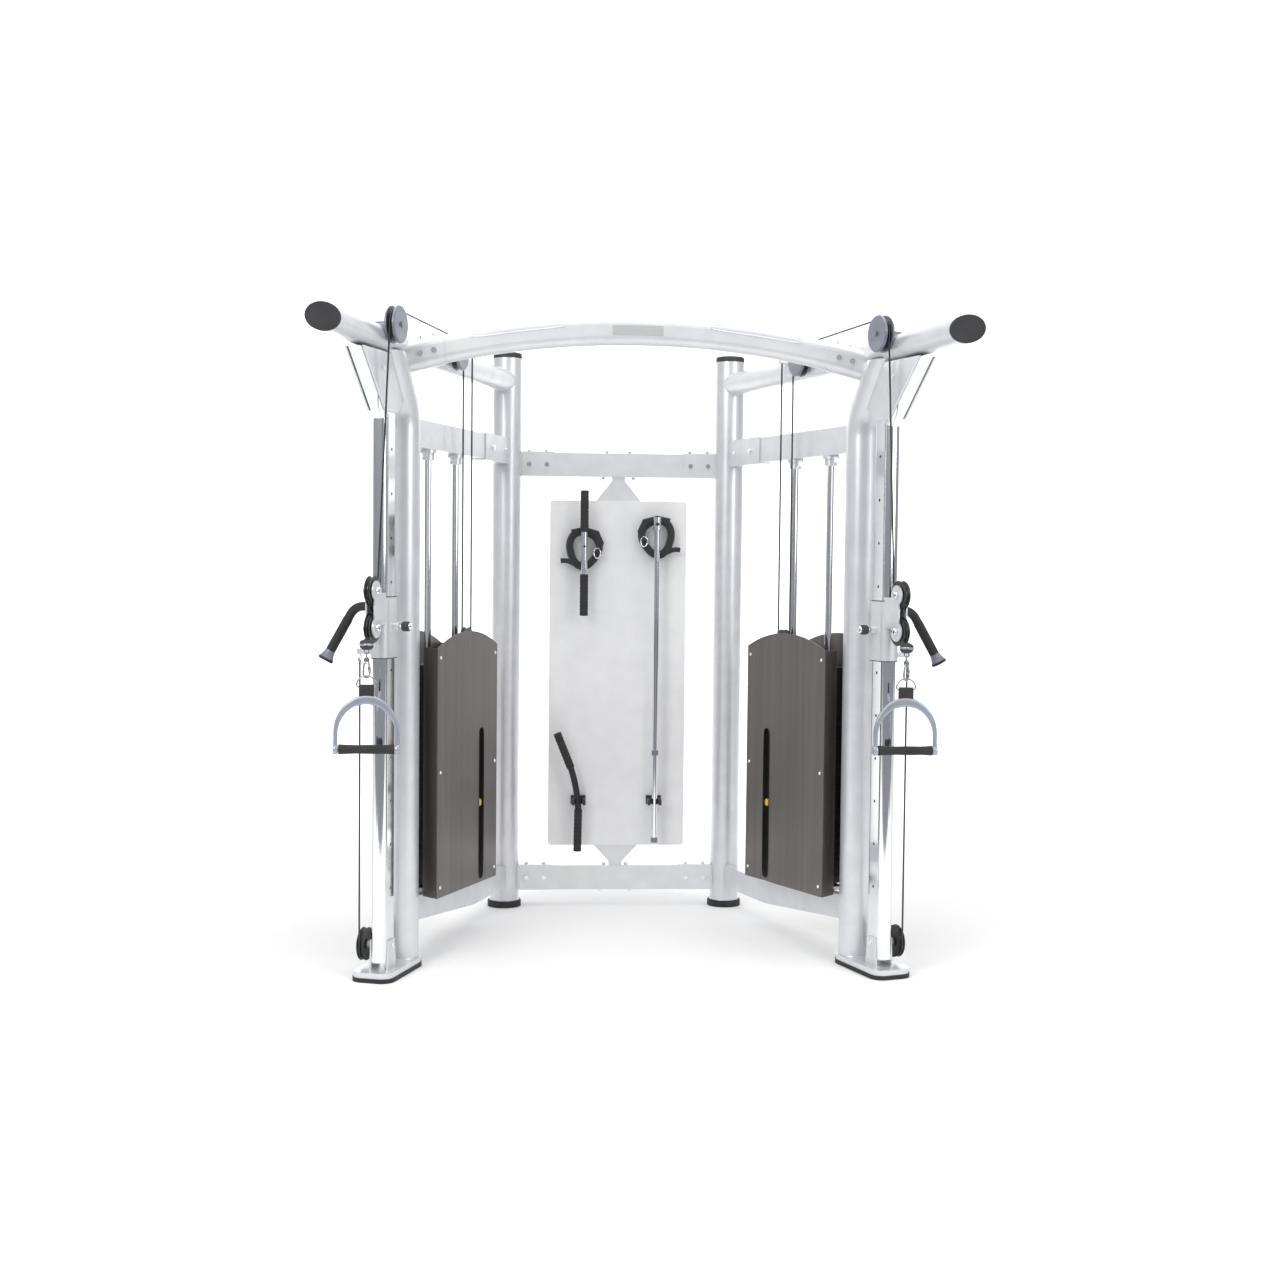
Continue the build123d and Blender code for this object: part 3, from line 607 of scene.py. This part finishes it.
def ankle_straps():
    """Padded cuffs folded round their pegs: a soft band, a webbing belt on it, a tab and a ring."""
    for name, body, lean in (("left", "straight_bar_body", 1), ("right", "long_bar_body", -1)):
        node = name + "_ankle_strap"
        centre = middle(node)
        low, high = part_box(node)
        reach = (high.z - low.z) / 2 - 0.006

        def loop(scale):
            points = []
            for i in range(60):
                angle = tau * i / 60
                wave = 1 + 0.05 * sin(3 * angle + lean) - 0.07 * max(0, -sin(angle)) * cos(2 * angle)
                points.append(centre + Vector((0.90 * reach * wave * scale * cos(angle), 0,
                                               reach * wave * scale * sin(angle))))
            return points

        bm = bmesh.new()
        add_sweep(bm, loop(0.86), rounded(0.034, 0.030, 0.010), True)
        cuff = finish_mesh(name + "_cuff", bm, "black_fabric", subdivide=1)
        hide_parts(node)
        belt = swept(name + "_cuff_belt", loop(1.035), rounded(0.024, 0.003, 0.0012, 2), "black_fabric", True)
        tail = [centre + Vector((-lean * x, y, z)) for x, y, z in
                ((0.040, -0.008, -0.062), (0.060, -0.012, -0.052), (0.078, -0.013, -0.050),
                 (0.092, -0.012, -0.052))]
        tab = swept(name + "_cuff_tab", tail, rounded(0.012, 0.020, 0.0045), "black_fabric")
        ring_at = centre + Vector((lean * 0.052, -0.020, -0.020))
        ring = swept(name + "_cuff_ring", arc(ring_at, (0.013, 0, 0), (0, 0, 0.020), 0, tau, 29)[:-1],
                     circle(0.0024, 8), "chrome", True)
        fold = [centre + Vector((lean * x, -0.016, z)) for x, z in
                ((-0.05, 0.060), (0, 0.071), (0.05, 0.058), (0.066, 0.020), (0.052, -0.020))]
        pad = swept(name + "_cuff_fold", fold, rounded(0.012, 0.026, 0.005), "black_fabric")
        for piece in (cuff, belt, tab, ring, pad):
            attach(piece, body)


# Frame details
def arch_point(x, forward, up):
    """A point on the arch's front, from its CAD box and its radius."""
    low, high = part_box("arch_crossbar")
    radius = 2.972
    crown = high.z - 0.0475
    return Vector((x, low.y - forward, crown - radius + (radius ** 2 - x ** 2) ** 0.5 + up))


def arch_details():
    """Two long pressed recesses with rims along the upper front, and a blank plate at the middle."""
    low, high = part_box("arch_crossbar")
    deep = high.y - low.y

    def on_face(x, up, lift):
        """The oval section's front surface at a height above its middle."""
        flat = 0.0475 - deep / 2
        rise = max(0, abs(up) - flat)
        back = deep / 2 - max(0, (deep / 2) ** 2 - rise ** 2) ** 0.5
        return arch_point(x, -back + lift, up)

    for side in (-1, 1):
        path = []
        half, centre, tall = 0.155, side * 0.40, 0.011
        for i in range(48):
            angle = tau * i / 48
            x = centre + half * (abs(cos(angle)) ** 0.35) * (1 if cos(angle) > 0 else -1)
            up = 0.026 + tall * (abs(sin(angle)) ** 0.8) * (1 if sin(angle) > 0 else -1)
            path.append(on_face(x, up, 0.0004))
        rim = swept(f"arch_recess_rim_{side + 1}", path, circle(0.0024, 8), "white_silver_paint", True)
        bm = bmesh.new()
        rows = []
        for j in range(5):
            up = 0.026 + tall * (j / 4 * 2 - 1)
            rows.append([bm.verts.new(on_face(centre + half * (i / 24 * 2 - 1), up, 0.0008))
                         for i in range(25)])
        for a, b in zip(rows, rows[1:]):
            for i in range(24):
                bm.faces.new((a[i], a[i + 1], b[i + 1], b[i]))
        panel = finish_mesh(f"arch_recess_{side + 1}", bm, "silver_paint")
        for piece in (rim, panel):
            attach(piece, "root")
    bm = bmesh.new()
    columns = []
    for i in range(17):
        x = -0.085 + 0.17 * i / 16
        columns.append([bm.verts.new(on_face(x, up, lift)) for up, lift in
                        ((-0.016, 0.0), (-0.016, 0.0022), (0.016, 0.0022), (0.016, 0.0))])
    for a, b in zip(columns, columns[1:]):
        for k in range(4):
            bm.faces.new((a[k], a[(k + 1) % 4], b[(k + 1) % 4], b[k]))
    bm.faces.new(columns[0])
    bm.faces.new(list(reversed(columns[-1])))
    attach(finish_mesh("arch_blank_plate", bm, "plate_blank"), "root")


def screw(name, place, axis):
    """A low domed screw head with a hexagon socket."""
    radius = 0.006
    bm = bmesh.new()
    profile = [(0, radius), (radius * 0.25, radius), (radius * 0.6, radius * 0.75),
               (radius * 0.7, radius * 0.5)]
    add_lathe(bm, profile, place, axis, 24)
    socket = [(radius * 0.5, radius * 0.42), (radius * 0.78, radius * 0.42), (radius * 0.80, radius * 0.3)]
    add_lathe(bm, socket, place, axis, 6)
    return finish_mesh(name, bm, "chrome")


def slot_shade_sheet_section(side, deep=0.028, thick=0.002):
    """A thin black sheet inside the slot behind its rear edge, painted shade for the slot's dark interior;
    for a sweep straight up: its section lies in the wing's axes.
    """
    across, along = inward(side) * deep / 2, (wing(side, 1, 0, 0) - wing(side, 0, 0, 0)) * thick / 2
    _, normals = frames([Vector((0, 0, 0)), Vector((0, 0, 1))], False)
    turned = Vector((0, 0, 1)).cross(normals[0])
    corners = [across + along, along - across, -across - along, across - along]
    return [(corner.dot(normals[0]), corner.dot(turned)) for corner in corners]


def frame_details():
    """Shroud screws, weld beads at the feet, slot edges, selector knobs and the stack's corner strips."""
    for name, side in SIDES.items():
        axis = inward(side)
        spots = ((0.450, 1.045), (0.450, 0.240), (1.005, 1.055), (1.005, 0.262), (0.450, 0.640),
                 (1.005, 0.660))
        for i, (u, z) in enumerate(spots):
            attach(screw(f"{name}_shroud_screw_{i}", wing(side, u, SHROUD_FACE, z), axis), "root")
            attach(screw(f"{name}_outer_screw_{i}", wing(side, u, -SHROUD_FACE, z), -axis), "root")
        for node, z, radius in (("front", 0.0325, 0.0575), ("rear", 0.0265, 0.0575)):
            place = wing(side, 1.0704 if node == "front" else 0, 0, z)
            around = arc(place, (radius, 0, 0), (0, radius, 0), 0, tau, 65)[:-1]
            bead = swept(f"{name}_{node}_weld", around, circle(0.0026, 8), "silver_paint", True)
            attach(bead, "root")
        slot_edge = []
        for i in range(40):
            angle = tau * i / 40
            su = 0.0245 * (1 if cos(angle) > 0 else -1) * abs(cos(angle)) ** 0.5
            sz = 0.278 * (1 if sin(angle) > 0 else -1) * abs(sin(angle)) ** 0.2
            slot_edge.append(wing(side, SLOT_U + su, 0.1128, SLOT_Z + sz))
        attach(swept(name + "_slot_edge", slot_edge, circle(0.0014, 6), "black_rubber", True), "root")
        # A black sheet inside the slot: painted shade that darkens the slot's interior
        shade_sheet = line(wing(side, 0.5570, 0.0950, 0.215), wing(side, 0.5570, 0.0950, 0.785))
        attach(swept(name + "_slot_shade_sheet", shade_sheet, slot_shade_sheet_section(side), "black_rubber"), "root")
        profile = [(-0.002, 0.006), (-0.001, 0.0125), (0.004, 0.0135), (0.010, 0.0122), (0.015, 0.0135),
                   (0.0195, 0.0128), (0.021, 0.009), (0.0212, 0.003)]
        knob = lathe(name + "_selector_face", profile, wing(side, 0.582, 0.086, 0.501), axis,
                     "yellow_plastic")
        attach(knob, name + "_selector_body")
        for u in (0.505, 0.915):
            strip = line(wing(side, u, 0.0490, 0.50), wing(side, u, 0.0490, 0.98), 2)
            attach(swept(f"{name}_stack_edge_{int(u * 1000)}", strip, rounded(0.003, 0.004, 0.001, 2),
                          "black_steel"), name + "_stack_body")


# Stage
def area_light(name, place, target, size, power):
    light = bpy.data.lights.new(name, "AREA")
    light.shape = "RECTANGLE"
    light.size, light.size_y = size
    light.energy = power
    lamp = bpy.data.objects.new(name, light)
    lamp.location = place
    lamp.rotation_euler = (Vector(target) - Vector(place)).to_track_quat("-Z", "Y").to_euler()
    bpy.context.scene.collection.objects.link(lamp)


def stage():
    bm = bmesh.new()
    rows = []
    rise = [(5 + 3 * sin(t * pi / 16), 3 - 3 * cos(t * pi / 16)) for t in range(1, 9)]
    for y, z in [(-2.95, 0), (5, 0), *rise, (8, 12)]:
        rows.append([bm.verts.new((x, y, z - 0.0006)) for x in (-14, 14)])
    for a, b in zip(rows, rows[1:]):
        bm.faces.new((a[0], a[1], b[1], b[0]))
    mesh = bpy.data.meshes.new("studio_sweep")
    bm.to_mesh(mesh)
    bm.free()
    sweep = bpy.data.objects.new("studio_sweep", mesh)
    bpy.context.scene.collection.objects.link(sweep)
    for face in mesh.polygons:
        face.use_smooth = True
    mesh.materials.append(surface("studio_paper", (0.93, 0.93, 0.93), 0.0, 0.9, 0.005, 60, 0.0))
    world = bpy.data.worlds.new("studio")
    bpy.context.scene.world = world
    world.use_nodes = True
    nodes, links = world.node_tree.nodes, world.node_tree.links
    background = nodes["Background"]
    vector = nodes.new("ShaderNodeTexCoord").outputs["Generated"]
    split = nodes.new("ShaderNodeSeparateXYZ")
    links.new(vector, split.inputs["Vector"])
    shade = ramp(nodes, links, split.outputs["Z"], (0.36, 0.37, 0.40), (1, 1, 1), 0.0, 0.5)
    links.new(shade, background.inputs["Color"])
    background.inputs["Strength"].default_value = 0.78
    area_light("key", (-3.2, -4.2, 3.6), (0, 0, 1.1), (2.2, 2.2), 110)
    area_light("fill", (3.6, -3.6, 2.6), (0, 0, 1.1), (2.5, 2.5), 65)
    area_light("backdrop", (0, 2.2, 4.6), (0, 8.0, 3.0), (9.0, 1.0), 520)
    area_light("top", (0, -0.5, 5.0), (0, 0, 0), (4.0, 3.0), 80)
    bpy.context.scene.view_settings.view_transform = "Standard"


def camera():
    """The camera that sees the machine from a little left of its middle, slightly from above."""
    yaw, pitch, roll = 0.0697, 0.0468, 0.0102
    ahead = Vector((sin(yaw) * cos(pitch), cos(yaw) * cos(pitch), -sin(pitch)))
    level = Vector((cos(yaw), -sin(yaw), 0))
    up = level.cross(ahead)
    right = level * cos(roll) + up * sin(roll)
    up = up * cos(roll) - level * sin(roll)
    data = bpy.data.cameras.new("camera")
    data.sensor_width = 36
    data.lens = 1699.1 / 1280 * 36
    eye = bpy.data.objects.new("camera", data)
    turn = Matrix((right, up, -ahead)).transposed().to_4x4()
    eye.matrix_world = Matrix.Translation((-0.3828, -6.3145 + REAR_Y - 0.5085, 1.3947)) @ turn
    bpy.context.scene.collection.objects.link(eye)
    bpy.context.scene.camera = eye


camera()
stage()
paint_frame()
cables()
handles()
carriage_details()
bars()
ankle_straps()
arch_details()
frame_details()
